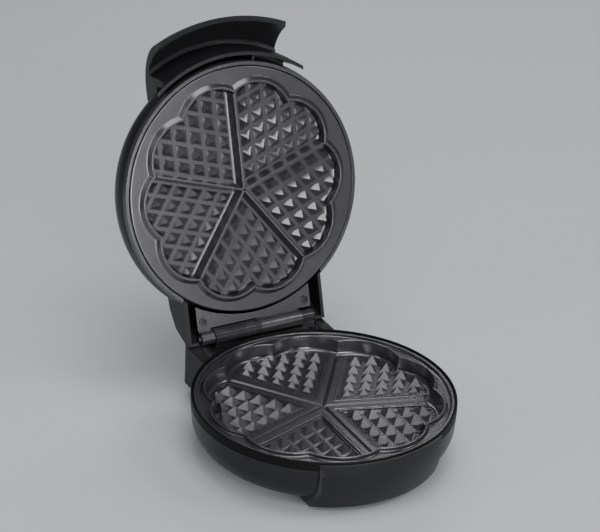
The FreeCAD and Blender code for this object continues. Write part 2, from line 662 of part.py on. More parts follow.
DECK = "lip_height + hinge_rise - knuckle_radius - seam_gap - bracket_wall"
leaf_sheet = leaf_blank("leaf_sheet", DECK, DECK + " + bracket_wall", "hinge_back + 6.9", "hinge_back - 25")
left_tube, left_hole = knuckle("leaf_long", "-(%s)" % LONG_END, "-ring_half - seam_gap",
                               "knuckle_radius", "pin_radius + 0.02")
right_tube, right_hole = knuckle("leaf_short", SHORT_START, SHORT_END, "end_knuckle_radius",
                                 "pin_radius + 0.02")
webs = [box("leaf_web_long", ("-(%s)" % LONG_END, "-ring_half - seam_gap"),
            ("hinge_back - 5.2", "hinge_back + 1"), (DECK, "lip_height + hinge_rise")),
        box("leaf_web_short", (SHORT_START, SHORT_END), ("hinge_back - 4", "hinge_back + 1"),
            (DECK, "lip_height + hinge_rise"))]
leaf_form = joined("leaf_form", [leaf_sheet, left_tube, right_tube] + webs)
body_room = cylinder("leaf_room", "body_radius + 2 * seam_gap", "60", ("0", "0", "0"))
LEAF_SCREWS = [("%d * (bracket_half - leaf_screw_inset)" % side, "hinge_back - leaf_screw_set")
               for side in (-1, 1)]
leaf_holes = [cylinder("leaf_hole_%d" % index, "screw_radius + 0.05", "20", spot + (DECK + " - 10",))
              for index, spot in enumerate(LEAF_SCREWS)]
keep(cut("leaf_cut", leaf_form, joined("leaf_voids", [body_room, left_hole, right_hole] + leaf_holes)),
     "hinge_leaf")
screws("hinge_leaf_screws", [spot + (DECK + " + bracket_wall",) for spot in LEAF_SCREWS], "7")

BRACKET = "lip_height + ring_clear + 3.2"
plate_sheet = leaf_blank("bracket_sheet", BRACKET, BRACKET + " + bracket_wall", "hinge_back - 6.4", "hinge_back - 33")
lid_long, lid_long_hole = knuckle("lid_long", "ring_half + seam_gap", LONG_END, "knuckle_radius",
                                  "pin_radius + pin_clearance")
lid_short, lid_short_hole = knuckle("lid_short", "-(%s)" % SHORT_END, "-(%s)" % SHORT_START,
                                    "end_knuckle_radius", "pin_radius + pin_clearance")
lid_webs = [box("lid_web_long", ("ring_half + seam_gap", LONG_END), ("hinge_back - 8", "hinge_back - 2"),
                (BRACKET, BRACKET + " + bracket_wall")),
            box("lid_web_short", ("-(%s)" % SHORT_END, "-(%s)" % SHORT_START),
                ("hinge_back - 8", "hinge_back - 1"), (BRACKET, BRACKET + " + bracket_wall"))]
bracket_form = joined("bracket_form", [plate_sheet, lid_long, lid_short] + lid_webs)
plate_room = cylinder("bracket_room", "lid_rim_radius - 0.6", "90", ("0", "0", "0"))
BRACKET_SCREWS = [("%d * (bracket_half - bracket_screw_inset)" % side, "hinge_back - bracket_screw_set")
                  for side in (-1, 1)]
bracket_holes = [cylinder("bracket_hole_%d" % index, "screw_radius + 0.05", "20",
                          spot + (BRACKET + " - 10",)) for index, spot in enumerate(BRACKET_SCREWS)]
keep(cut("bracket_cut", bracket_form,
         joined("bracket_voids", [plate_room, lid_long_hole, lid_short_hole] + bracket_holes)),
     "lid_bracket", OPEN)
screws("bracket_screws", [spot + (BRACKET,) for spot in BRACKET_SCREWS], "7", OPEN, Vector(0, 0, -1))


# ---------------------------------------------------------------- lid casing, closed place
def lid_form(inset):
    """Dome of the lid and its squared rear part over the hinge."""
    radius, low = size("lid_radius") - inset, LIP + size("lid_side") - (2 if inset else 0)
    top = LIP + size("lid_height") - inset
    corner, shoulder = radius - 7, LIP + 29.5 - inset
    drop = top - shoulder
    side = Part.Arc(Vector(radius, 0, low + (2 if inset else 0)), Vector(radius - 0.6, 0, LIP + 19),
                    Vector(corner, 0, shoulder)).toShape()
    ball = (corner ** 2 + drop ** 2) / (2 * drop)        # the crown is part of a ball centred on the axis
    midway = corner / 2
    crown = Part.Arc(Vector(corner, 0, top - drop),
                     Vector(midway, 0, top - ball + math.sqrt(ball ** 2 - midway ** 2)),
                     Vector(0, 0, top)).toShape()
    edges = [side, crown, Part.makeLine(Vector(0, 0, top), Vector(0, 0, low)),
             Part.makeLine(Vector(0, 0, low), Vector(radius, 0, low))]
    if inset:
        edges.append(Part.makeLine(Vector(radius, 0, low), Vector(radius, 0, low + 2)))
    dome = Part.Face(Part.Wire(Part.sortEdges(edges)[0])).revolve(Vector(), Z, 360)
    half, bottom = size("tower_half") + 0.5 - inset, LIP + size("lid_rim_rise") - (2 if inset else 0)
    front = HINGE.y - 55
    section = [Vector(-half, front, bottom), Vector(-half, HINGE.y + 4 - inset, bottom),
               Vector(-half, HINGE.y + 4 - inset, HINGE.z + 3.4 - inset / 2),
               Vector(-half, HINGE.y - 6.9 - inset, HINGE.z + 19.7 - inset / 2),
               Vector(-half, HINGE.y - 21, LIP + 28.5 - inset), Vector(-half, front, LIP + 33.5 - inset)]
    return dome.fuse(prism(section, Vector(2 * half, 0, 0)))


def lid_shell():
    wall = size("shell_wall")
    shell = lid_form(0).cut(lid_form(wall))
    shell = shell.cut(disc(size("lid_radius") - wall, 0, LIP + size("lid_side") + 3))
    half = size("bracket_half") + 1.5
    shell = shell.cut(Part.makeCylinder(size("knuckle_radius") + 1.6, 2 * half,
                                        Vector(-half, HINGE.y, HINGE.z), X))
    shell = shell.cut(Part.makeBox(2 * half, 30, 12, Vector(-half, HINGE.y - 11, LIP - 6)))
    shell = shell.removeSplitter()
    for side in (-1, 1):
        shell = shell.cut(Part.makeCylinder(size("lamp_radius") + 0.05, 20,
                                            Vector(side * size("lamp_spread"), -size("lamp_reach"), LIP + 25)))
    return shell


solid_piece("lid_shell", lid_shell(), OPEN)

rim = turned("lid_rim", [
    ("upper_plate_radius + rim_joint", "lip_height + lid_rim_rise"),
    ("lid_rim_radius", "lip_height + lid_rim_rise"),
    ("lid_radius", "lip_height + lid_side - 0.4"),
    ("lid_radius", "lip_height + lid_side - seam_gap"),
    ("upper_plate_radius + rim_joint", "lip_height + lid_side - seam_gap"),
])
rear = outline(rim, "XY_Plane", [("-tower_half - 1", "hinge_back - 45"), ("tower_half + 1", "hinge_back - 45"),
                                 ("tower_half + 1", "hinge_back + 5"), ("-tower_half - 1", "hinge_back + 5")])
pocket(rim, rear)
rim.Placement = FORWARD.multiply(OPEN)


def handle():
    """Overhanging grip: a crown that curls down to a lip, a finger hollow and a flange with two wings."""
    reach, wall, edge = size("handle_reach"), size("handle_wall"), LIP + size("handle_edge")
    crown, flange = LIP + size("handle_crown"), size("flange_radius")
    deep, roof = size("hollow_radius"), LIP + size("hollow_height")
    low, inner = LIP + size("lid_rim_rise") - 0.4, size("flange_radius") - size("flange_wall")
    outside = Part.Arc(Vector(reach - 34, 0, crown), Vector(reach - 10, 0, crown - 8.7),
                       Vector(reach, 0, edge)).toShape()
    palm = Part.Arc(Vector(reach - wall, 0, edge + 1.4), Vector(reach - wall - 6.3, 0, edge + 13),
                    Vector(deep, 0, roof)).toShape()
    corners = [Vector(deep, 0, roof), Vector(deep - 2.8, 0, roof - 1), Vector(flange + 1.8, 0, low + 12),
               Vector(flange, 0, low), Vector(inner, 0, low), Vector(inner, 0, LIP + 18),
               Vector(60, 0, LIP + 18), Vector(60, 0, LIP + 30), Vector(reach - 46, 0, crown - 0.6),
               Vector(reach - 34, 0, crown)]
    edges = [outside, Part.makeLine(Vector(reach, 0, edge), Vector(reach - wall, 0, edge + 1.4)), palm]
    edges += [Part.makeLine(first, second) for first, second in zip(corners, corners[1:])]
    ring = Part.Face(Part.Wire(edges)).revolve(Vector(), Z, 360)
    half, wing = size("handle_half"), size("wing_half")
    front = [Vector(-half, -reach - 1, low - 1), Vector(half, -reach - 1, low - 1),
             Vector(half, -reach - 1, crown + 1), Vector(-half, -reach - 1, crown + 1)]
    grip = prism(front, Vector(0, reach - 60, 0))
    spread, rise = wing - half, 14
    for side in (-1, 1):
        root = Vector(side * (half - 6), -reach, low - 1)
        foot, hip = Vector(side * wing, -reach, low), Vector(side * half, -reach, low + rise)
        bend = Vector(side * (half + 0.22 * spread), -reach, low + 0.22 * rise)
        curve = Part.Arc(foot, bend, hip).toShape()
        shape = Part.Wire([curve, Part.makeLine(hip, Vector(root.x, -reach, hip.z)),
                           Part.makeLine(Vector(root.x, -reach, hip.z), root),
                           Part.makeLine(root, Vector(foot.x, -reach, low - 1)),
                           Part.makeLine(Vector(foot.x, -reach, low - 1), foot)])
        gusset = Part.Face(shape).extrude(Vector(0, reach - 60, 0))
        grip = grip.fuse(gusset.common(disc(flange + 2.4, low - 1, crown)))
    block = ring.common(grip)
    grown = FreeCAD.Matrix()
    grown.scale(1 + 0.02 / size("lid_radius"), 1 + 0.02 / size("lid_radius"), 1)
    block = block.cut(lid_form(0).transformGeometry(grown))
    block = block.cut(disc(inner, 0, LIP + size("lid_side") + 1))
    return max(block.removeSplitter().Solids, key=lambda item: item.Volume)


solid_piece("handle", handle(), OPEN)

# ---------------------------------------------------------------- inside the lid
BEHIND = "lip_height + ring_clear - crest_drop + upper_floor + plate_wall"
element("upper_heating_element",
        LIP + size("ring_clear") - size("crest_drop") + size("upper_floor") + size("plate_wall")
        + size("element_radius"), OPEN)
turned("upper_reflector", [
    (None, BEHIND + " + 9.5"), ("upper_plate_radius - 11", BEHIND + " + 9.5"),
    ("upper_plate_radius - 11", BEHIND + " + 9.5 + dish_wall"), (None, BEHIND + " + 9.5 + dish_wall")], OPEN)
for lamp, side in (("power_lamp", -1), ("ready_lamp", 1)):
    keep(cylinder(lamp + "_lens", "lamp_radius", "14",
                  ("%d * lamp_spread" % side, "-lamp_reach", "lip_height + 24")), lamp, OPEN)


# ---------------------------------------------------------------- write the pieces
def write_pieces():
    doc.recompute()
    for item in doc.Objects:
        if "Invalid" in item.State or "Error" in item.State:
            raise ValueError("%s did not rebuild: %s" % (item.Name, item.State))
    os.makedirs("parts", exist_ok=True)
    for piece in pieces:
        shape = piece.Shape
        if shape.isNull() or not shape.isValid() or not shape.Solids:
            raise ValueError(piece.Label + " is not a sound solid")
        shape.exportStep("parts/%s.step" % piece.Label)
        print("%-24s %2d solid(s) %9.1f mm3" % (piece.Label, len(shape.Solids), shape.Volume))


write_pieces()
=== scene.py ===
# %% [markdown]
# # Five-heart waffle maker, standing open
#
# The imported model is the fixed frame: every piece below takes its place from it. The lid's pieces are
# drawn shut, lying level over the base, because that is how they are measured; then they are turned
# open about the hinge pin by the angle that the hinge's own range gives.

# %% The frame
import json
import math
import bmesh
import bpy
from mathutils import Matrix, Vector


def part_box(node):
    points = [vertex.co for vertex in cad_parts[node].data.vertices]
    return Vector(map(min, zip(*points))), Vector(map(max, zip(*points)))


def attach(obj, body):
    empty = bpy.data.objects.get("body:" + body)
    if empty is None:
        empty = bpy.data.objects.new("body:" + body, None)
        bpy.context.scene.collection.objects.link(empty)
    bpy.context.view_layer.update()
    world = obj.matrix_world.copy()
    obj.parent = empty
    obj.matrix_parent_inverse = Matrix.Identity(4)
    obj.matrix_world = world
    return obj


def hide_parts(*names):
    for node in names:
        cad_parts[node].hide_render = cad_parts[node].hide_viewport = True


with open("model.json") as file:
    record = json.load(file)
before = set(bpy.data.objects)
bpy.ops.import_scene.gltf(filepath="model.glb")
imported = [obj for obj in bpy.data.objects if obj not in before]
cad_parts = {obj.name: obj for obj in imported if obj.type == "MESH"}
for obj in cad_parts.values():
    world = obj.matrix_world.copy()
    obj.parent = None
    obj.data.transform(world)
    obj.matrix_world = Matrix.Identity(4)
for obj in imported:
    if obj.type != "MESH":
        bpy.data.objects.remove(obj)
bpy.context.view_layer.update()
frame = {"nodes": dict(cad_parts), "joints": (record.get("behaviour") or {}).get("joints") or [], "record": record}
MM = 0.001
hinge = frame["joints"][0]
PIN = Vector(hinge["pos_m"])
OPEN_ANGLE = math.radians(hinge["range_deg"][1])
OPEN = Matrix.Translation(PIN) @ Matrix.Rotation(-OPEN_ANGLE, 4, "X") @ Matrix.Translation(-PIN)
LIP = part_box("lower_plate")[1].z
AXIS_Y = (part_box("lower_plate")[0].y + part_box("lower_plate")[1].y) / 2
print("nodes", len(frame["nodes"]), "lip at", round(LIP / MM, 2), "mm")
print("open", round(hinge["range_deg"][1], 1), "degrees")

# %% [markdown]
# ## Table, light and camera
#
# The object is almost black, so its shape is told by what it mirrors, not by light falling on it.
# Large soft panels do that: one overhead in front that the near faces of the pyramids mirror, one low
# ahead that the open lid looks at, weak ones at the sides and behind for edges, and one on top for the
# table, which is one plain pale sheet.

# %% Table and light
MIDDLE_HEIGHT = 0.12
TABLE_WIDTH = 14


def looking_at(target, azimuth, elevation, distance):
    """Seat of a lamp or camera; the direction is in degrees, from the front and up from the table."""
    a, e = math.radians(azimuth), math.radians(elevation)
    away = Vector((math.sin(a) * math.cos(e), -math.cos(a) * math.cos(e), math.sin(e)))
    facing = (-away).to_track_quat("-Z", "Y").to_matrix().to_4x4()
    return Matrix.Translation(Vector(target) + away * distance) @ facing


def soft_panel(name, azimuth, elevation, distance, width, height, power):
    """A rectangular lamp, in metres and watts, that looks at the middle of the object."""
    lamp = bpy.data.lights.new(name, "AREA")
    lamp.shape, lamp.size, lamp.size_y = "RECTANGLE", width, height
    lamp.energy = power
    panel = bpy.data.objects.new(name, lamp)
    panel.matrix_world = looking_at((0, AXIS_Y, MIDDLE_HEIGHT), azimuth, elevation, distance)
    bpy.context.scene.collection.objects.link(panel)


# Name, azimuth, elevation, distance, width, height, power.
soft_panel("panel_overhead", -34, 50, 1.5, 1.5, 0.5, 6.5)
soft_panel("panel_ahead", -4, 11, 2.2, 1.6, 0.6, 44)
soft_panel("panel_behind", 152, 40, 1.8, 1.4, 0.22, 9)
soft_panel("panel_left", -92, 24, 1.6, 0.4, 1.0, 4)
soft_panel("panel_right", 56, 42, 1.7, 0.5, 0.5, 6)
soft_panel("panel_top", 0, 84, 2.4, 1.3, 1.3, 25)
room = bpy.data.worlds.new("room")
bpy.context.scene.world = room
room.use_nodes = True
sky = room.node_tree.nodes["Background"]
sky.inputs["Color"].default_value = (0.78, 0.8, 0.84, 1)
sky.inputs["Strength"].default_value = 0.17

bpy.ops.mesh.primitive_plane_add(size=TABLE_WIDTH, location=(0, 0, 0))
table = bpy.context.object
table.name = "table"

# %% [markdown]
# The camera stands well back with a long lens, to the left and above, and leans a little to one side.

# %% Camera
LENS_MM, SENSOR_MM = 203.6, 36
AIM = (-0.0012, AXIS_Y + 0.0414, 0.1294)
LEAN = math.radians(2.478)
lens = bpy.data.cameras.new("camera")
lens.sensor_width, lens.lens = SENSOR_MM, LENS_MM
camera = bpy.data.objects.new("camera", lens)
bpy.context.scene.collection.objects.link(camera)
camera.matrix_world = looking_at(AIM, -29.36, 28.05, 2.425) @ Matrix.Rotation(LEAN, 4, "Z")
bpy.context.scene.camera = camera
print("camera at", [round(value, 3) for value in camera.matrix_world.translation])

# %% [markdown]
# ## Node trees
#
# Materials and Geometry Nodes are both graphs, so one helper places a node in either: it sets the
# node's own properties, then each input, by value or by a link when the value is another node's output.

# %% Helpers for node trees
def place(tree, kind, inputs=None, **properties):
    """A node of a kind, with its inputs set or linked and its own properties set."""
    made = tree.nodes.new(kind)
    for name, value in properties.items():
        setattr(made, name, value)
    for key, value in (inputs or {}).items():
        if isinstance(value, bpy.types.NodeSocket):
            tree.links.new(value, made.inputs[key])
        else:
            made.inputs[key].default_value = value
    return made


def calc(tree, operation, *values):
    """A Math node's output; values are numbers or other nodes' outputs."""
    return place(tree, "ShaderNodeMath", dict(enumerate(values)), operation=operation).outputs[0]


def open_tree(name, kind, inputs, outputs):
    """An empty node tree with named sockets, and its input and output nodes."""
    tree = bpy.data.node_groups.new(name, kind)
    for side, sockets in (("INPUT", inputs), ("OUTPUT", outputs)):
        for label, socket, default in sockets:
            made = tree.interface.new_socket(label, in_out=side, socket_type=socket)
            if default is not None:
                made.default_value = default
    return tree, tree.nodes.new("NodeGroupInput").outputs, tree.nodes.new("NodeGroupOutput").inputs


# %% [markdown]
# ## Finishes
#
# Two effects are shared. `moulded grain` is the fine, uneven skin of a part that comes out of a mould or
# a spray booth: it gives a height for the Bump node and an uneven roughness. The second finds convex
# edges from the bend of the surface and gives a mask, so that edges and the tops of the pyramids are a
# little lighter: a painted highlight, patchy along the edge, that stands in for light caught by rounded edges.

# %% Shared effects
def make_grain():
    tree, given, out = open_tree(
        "moulded grain", "ShaderNodeTree",
        [("Size", "NodeSocketFloat", 0.6), ("Roughness", "NodeSocketFloat", 0.4),
         ("Unevenness", "NodeSocketFloat", 0.1)],
        [("Height", "NodeSocketFloat", None), ("Roughness", "NodeSocketFloat", None),
         ("Cloud", "NodeSocketFloat", None)])
    where = place(tree, "ShaderNodeTexCoord").outputs["Object"]
    fine = place(tree, "ShaderNodeTexNoise", {
        "Vector": where, "Scale": calc(tree, "DIVIDE", 1 / MM, given["Size"]), "Detail": 2.0})
    cloud = place(tree, "ShaderNodeTexNoise", {"Vector": where, "Scale": 38.0, "Detail": 4.0,
                                               "Roughness": 0.62})
    blotch = calc(tree, "SUBTRACT", cloud.outputs["Fac"], 0.5)
    tree.links.new(fine.outputs["Fac"], out["Height"])
    tree.links.new(calc(tree, "MULTIPLY_ADD", blotch, given["Unevenness"], given["Roughness"]),
                   out["Roughness"])
    tree.links.new(cloud.outputs["Fac"], out["Cloud"])
    return tree


# Mask for a painted highlight: convex edges found by their bend, made patchy by noise.
def make_edge_highlight():
    tree, given, out = open_tree(
        "edge rub", "ShaderNodeTree",
        [("From", "NodeSocketFloat", 0.51), ("To", "NodeSocketFloat", 0.58)],
        [("Mask", "NodeSocketFloat", None)])
    bend = place(tree, "ShaderNodeNewGeometry").outputs["Pointiness"]
    where = place(tree, "ShaderNodeTexCoord").outputs["Object"]
    patchy = place(tree, "ShaderNodeTexNoise", {"Vector": where, "Scale": 160.0, "Detail": 3.0})
    mask = place(tree, "ShaderNodeMapRange", {"Value": bend, 1: given["From"], 2: given["To"]})
    tree.links.new(calc(tree, "MULTIPLY", mask.outputs[0], patchy.outputs["Fac"]), out["Mask"])
    return tree


GRAIN, EDGE_HIGHLIGHT = make_grain(), make_edge_highlight()
print("shared effects", GRAIN.name, "and", EDGE_HIGHLIGHT.name)

# %% [markdown]
# Every finish is made by one function. The moulded grain's slow cloud also mixes in a lighter shade of
# the base colour, so that no surface has one flat colour.

# %% Materials
CLOUD_SHARE, CLOUD_LIFT = 0.35, 1.35


def finish(name, colour, highlight_colour, roughness, metallic=0.0, grain=0.6, depth=0.02, uneven=0.12, coat=0.0,
           specular=0.5):
    """Base colour, lighter colour painted on convex edges as a highlight, gloss, and size and depth of the grain
    in mm.
    """
    material = bpy.data.materials.new(name)
    material.use_nodes = True
    tree = material.node_tree
    shader = tree.nodes["Principled BSDF"]
    skin = place(tree, "ShaderNodeGroup", node_tree=GRAIN)
    for label, value in (("Size", grain), ("Roughness", roughness), ("Unevenness", uneven)):
        skin.inputs[label].default_value = value
    highlight = place(tree, "ShaderNodeGroup", node_tree=EDGE_HIGHLIGHT)
    shade = place(tree, "ShaderNodeMix", {
        0: calc(tree, "MULTIPLY", skin.outputs["Cloud"], CLOUD_SHARE), 6: (*colour, 1),
        7: (*[min(1, CLOUD_LIFT * part) for part in colour], 1)}, data_type="RGBA")
    # Painted highlight: the convex-edge mask mixes in the lighter edge colour.
    with_highlight = place(tree, "ShaderNodeMix", {0: highlight.outputs["Mask"], 6: shade.outputs[2], 7: (*highlight_colour, 1)},
                 data_type="RGBA")
    bump = place(tree, "ShaderNodeBump", {"Height": skin.outputs["Height"], "Distance": depth * MM,
                                          "Strength": 1.0})
    tree.links.new(with_highlight.outputs[2], shader.inputs["Base Color"])
    tree.links.new(skin.outputs["Roughness"], shader.inputs["Roughness"])
    tree.links.new(bump.outputs["Normal"], shader.inputs["Normal"])
    for label, value in (("Metallic", metallic), ("Coat Weight", coat), ("Coat Roughness", 0.1),
                         ("Specular IOR Level", specular)):
        shader.inputs[label].default_value = value
    return material


# The second colour of each finish is the painted highlight on its convex edges.
casing = finish("black_moulded_plastic", (0.011, 0.011, 0.012), (0.04, 0.04, 0.042), 0.36, grain=0.35,
                depth=0.012, specular=0.22)
coating = finish("nonstick_coating", (0.09, 0.089, 0.096), (0.16, 0.16, 0.165), 0.26, metallic=0.8,
                 grain=0.5, depth=0.006, uneven=0.08, coat=0.35)
# Darker and duller than the casing: painted shade for the shadowed gap between the plate's rim and the base.
painted_shade_black = finish("black_plastic_painted_shade", (0.004, 0.004, 0.004), (0.012, 0.012, 0.012), 0.5,
                      grain=0.35, depth=0.012, specular=0.1)
hinge_black = finish("black_hinge_steel", (0.02, 0.02, 0.021), (0.2, 0.2, 0.21), 0.2, metallic=0.6,
                     grain=0.8, depth=0.004, coat=0.3)
steel = finish("plain_steel", (0.45, 0.45, 0.46), (0.7, 0.7, 0.7), 0.3, metallic=1.0, depth=0.004)
screw_steel = finish("blackened_screw", (0.03, 0.03, 0.031), (0.3, 0.3, 0.31), 0.3, metallic=0.9,
                     depth=0.004)
reflector = finish("bright_sheet", (0.6, 0.6, 0.62), (0.8, 0.8, 0.8), 0.22, metallic=1.0, depth=0.004)
element = finish("oxidised_tube", (0.12, 0.115, 0.11), (0.3, 0.29, 0.28), 0.5, metallic=0.8)
ceramic = finish("white_ceramic", (0.7, 0.68, 0.62), (0.8, 0.78, 0.72), 0.55)
sleeve = finish("silicone_sleeve", (0.6, 0.57, 0.5), (0.7, 0.67, 0.6), 0.5)
rubber = finish("black_rubber", (0.012, 0.012, 0.012), (0.03, 0.03, 0.03), 0.7, grain=0.5, depth=0.03)
lamp_red = finish("red_lens", (0.3, 0.01, 0.01), (0.4, 0.03, 0.03), 0.15, coat=0.6)
lamp_green = finish("green_lens", (0.01, 0.2, 0.03), (0.03, 0.3, 0.06), 0.15, coat=0.6)
SLOTS = {"casing": casing, "nonstick": coating, "hinge_black": hinge_black, "steel": steel,
         "screw": screw_steel, "reflector": reflector, "element": element, "ceramic": ceramic,
         "lead": sleeve, "foot": rubber, "gland": casing, "lamp_red": lamp_red, "lamp_green": lamp_green}
slot_of = {row["node"]: row["material_slot"] for row in frame["record"]["subparts"]}
for name, node in frame["nodes"].items():
    node.data.materials.clear()
    node.data.materials.append(SLOTS[slot_of[name]])

table_top = bpy.data.materials.new("pale_table")
table_top.use_nodes = True
sheet = table_top.node_tree.nodes["Principled BSDF"]
sheet.inputs["Base Color"].default_value = (0.5, 0.52, 0.55, 1)
sheet.inputs["Roughness"].default_value = 0.6
table.data.materials.append(table_top)
print("finishes", len(bpy.data.materials))

# %% [markdown]
# ## Making and handing over a piece
#
# Every piece ends the same way: its live modifiers are turned into plain mesh, sharp corners keep a
# crease, normals are weighted by face size so that broad faces stay flat up to their rounded edges, and
# the piece is hung on the body that carries it, while the CAD nodes it stands in for are hidden.

# %% Helpers for pieces
CREASE, CAST_CREASE, HEART_CREASE = 32, 50, 40
WELD = 0.002 * MM
FLAT_WITHIN = math.radians(0.6)


def mesh_object(name, points, faces):
    mesh = bpy.data.meshes.new(name)
    mesh.from_pydata([tuple(point) for point in points], [], faces)
    made = bpy.data.objects.new(name, mesh)
    bpy.context.scene.collection.objects.link(made)
    return made


def plain(piece, crease=CREASE):
    """Live modifiers become mesh; edges sharper than crease stay sharp."""
    weigh = piece.modifiers.new("even faces", "WEIGHTED_NORMAL")
    weigh.keep_sharp, weigh.weight = True, 60
    piece.data.shade_smooth()
    piece.data.set_sharp_from_angle(angle=math.radians(crease))
    mesh = bpy.data.meshes.new_from_object(piece.evaluated_get(bpy.context.evaluated_depsgraph_get()))
    piece.modifiers.clear()
    piece.data = mesh
    return piece


def rounded(piece, width, segments, angle=30):
    """A live bevel on the edges that turn by more than an angle."""
    bevel = piece.modifiers.new("rounded edges", "BEVEL")
    bevel.width, bevel.segments = width, segments
    bevel.limit_method, bevel.angle_limit = "ANGLE", math.radians(angle)
    bevel.use_clamp_overlap = True


def hand_over(piece, body, nodes, slot, material=None):
    """Gives a piece its finish, hangs it on the body that carries it and hides the nodes it stands for."""
    piece.data.materials.clear()
    piece.data.materials.append(material or SLOTS[slot])
    for face in piece.data.polygons:
        face.material_index = 0
    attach(piece, body)
    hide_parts(*nodes)
    print(piece.name, "on", body, "-", len(piece.data.polygons), "faces")
    return piece


def softened(node, name, body, width, material=None):
    """A copy of a CAD node whose hard edges are rounded by a bevel of a given width."""
    copy = bpy.data.objects.new(name, frame["nodes"][node].data.copy())
    bpy.context.scene.collection.objects.link(copy)
    work = bmesh.new()
    work.from_mesh(copy.data)
    bmesh.ops.remove_doubles(work, verts=work.verts, dist=WELD)
    bmesh.ops.dissolve_limit(work, angle_limit=FLAT_WITHIN, verts=work.verts, edges=work.edges)
    bmesh.ops.recalc_face_normals(work, faces=work.faces)
    work.to_mesh(copy.data)
    work.free()
    if "custom_normal" in copy.data.attributes:
        copy.data.attributes.remove(copy.data.attributes["custom_normal"])
    rounded(copy, width, 3)
    plain(copy)
    return hand_over(copy, body, [node], slot_of[node], material)


# %% [markdown]
# ## The flower
#
# Both plates follow one rule: ten equal arcs, two to a heart, round the axis. A casting is then a stack
# of closed lines, some round and some flower-shaped, skinned one to the next. Every line has the same
# number of points at the same turns, so the skin is clean quads and each corner can have its own fillet.

# %% Lines of the casting
HEARTS = 5
SECTOR = math.pi / HEARTS
LOBE_CENTRE, LIP_ARC = 51.3, 34.8
PER_LOBE = 48
ON_AXIS = Vector((0, AXIS_Y, LIP))
TURNS = [2 * math.pi * index / (2 * HEARTS * PER_LOBE) for index in range(2 * HEARTS * PER_LOBE)]


def reach_of(turn, arc):
    """Distance from the axis to the flower of a given arc, turned from the front divider."""
    off = (turn % SECTOR) - SECTOR / 2
    return LOBE_CENTRE * math.cos(off) + math.sqrt(arc ** 2 - (LOBE_CENTRE * math.sin(off)) ** 2)


def around(turn, reach, height):
    """Point, given in mm, at a turn from the front divider."""
    angle = turn - math.pi / 2
    return Vector((reach * math.cos(angle), reach * math.sin(angle), height)) * MM


def flower_line(arc, height):
    return [around(turn, reach_of(turn, arc), height) for turn in TURNS]


def round_line(radius, height):
    return [around(turn, radius, height) for turn in TURNS]


def filleted(corners, step=18):
    """Points (across, up) of a profile whose corners (across, up, radius) are rounded."""
    points = []
    for index, (across, up, radius) in enumerate(corners):
        here = Vector((across, up))
        if not radius or index in (0, len(corners) - 1):
            points.append((across, up))
            continue
        back = (Vector(corners[index - 1][:2]) - here).normalized()
        ahead = (Vector(corners[index + 1][:2]) - here).normalized()
        half = back.angle(ahead) / 2
        trim = radius / math.tan(half)
        middle = here + (back + ahead).normalized() * (radius / math.sin(half))
        first, last = here + back * trim - middle, here + ahead * trim - middle
        sweep = first.angle_signed(last)
        count = max(2, math.ceil(abs(math.degrees(sweep)) / step))
        for part in range(count + 1):
            turn = Matrix.Rotation(-sweep * part / count, 2)
            points.append(tuple(middle + turn @ first))
    return points


def skin(name, lines, capped=True):
    """Closed lines of equal count, joined in quads; the first and last are filled."""
    count = len(lines[0])
    faces = []
    for low in range(len(lines) - 1):
        for index in range(count):
            after = (index + 1) % count
            faces.append((low * count + index, low * count + after,
                          (low + 1) * count + after, (low + 1) * count + index))
    if capped:
        faces.append(tuple(reversed(range(count))))
        faces.append(tuple((len(lines) - 1) * count + index for index in range(count)))
    made = mesh_object(name, [point for line in lines for point in line], faces)
    outward(made)
    return made


def outward(piece):
    """Turns every face of a closed piece to the outside."""
    work = bmesh.new()
    work.from_mesh(piece.data)
    bmesh.ops.recalc_face_normals(work, faces=work.faces)
    work.to_mesh(piece.data)
    work.free()


# %% [markdown]
# ## Hearts
#
# A heart's edge runs beside two dividers and round two lobes. `heart_line` gives it at any inset, always
# with the same count of points, so ridges and steps round the pad are skins of such lines too.

# %% One heart and its divider
def heart_point(first, second):
    """Point at given distances from the heart's two dividers."""
    lean = math.cos(2 * SECTOR)
    one, two = Vector((1, 0)), Vector((-lean, -math.sin(2 * SECTOR)))
    return ((one + two * lean) * first + (two + one * lean) * second) / (1 - lean ** 2)


def heart_line(side, arc, height, per_edge=14):
    """Closed edge of the front right heart: side is its distance from the dividers."""
    tip = heart_point(side, side)
    lobe = around(SECTOR / 2, LOBE_CENTRE, 0) / MM
    drop = math.sqrt(arc ** 2 - (lobe.x - side) ** 2)
    corner = Vector((side, lobe.y - drop))
    cusp = around(SECTOR, reach_of(0, arc), 0) / MM
    start = math.atan2(corner.y - lobe.y, corner.x - lobe.x)
    end = math.atan2(cusp.y - lobe.y, cusp.x - lobe.x)
    half = [tip.lerp(corner, part / per_edge) for part in range(per_edge)]
    count = 2 * per_edge
    half += [Vector((lobe.x + arc * math.cos(start + (end - start) * part / count),
                     lobe.y + arc * math.sin(start + (end - start) * part / count)))
             for part in range(count + 1)]
    fold = Matrix.Rotation(math.pi / 2 - SECTOR, 2)
    mirrored = []
    for point in reversed(half[1:-1]):
        turned = fold @ point
        mirrored.append(fold.inverted() @ Vector((turned.x, -turned.y)))
    return [Vector((point.x, point.y, height)) * MM for point in half + mirrored]


def divider(name, section, reach, tail):
    """A bar along the front divider, mitred at the axis so that five of them meet in a star."""
    stations = [(None, 1.0), (reach - tail, 1.0), (reach - 0.4 * tail, 0.75), (reach, 0.0)]
    base = section[0][1]
    points = []
    for far, rise in stations:
        for across, up in section:
            along = abs(across) / math.tan(SECTOR) if far is None else far
            points.append(Vector((across, -along, base + (up - base) * rise)) * MM)
    count = len(section)
    faces = [(row * count + index, row * count + index + 1, (row + 1) * count + index + 1,
              (row + 1) * count + index)
             for row in range(len(stations) - 1) for index in range(count - 1)]
    return mesh_object(name, points, faces)


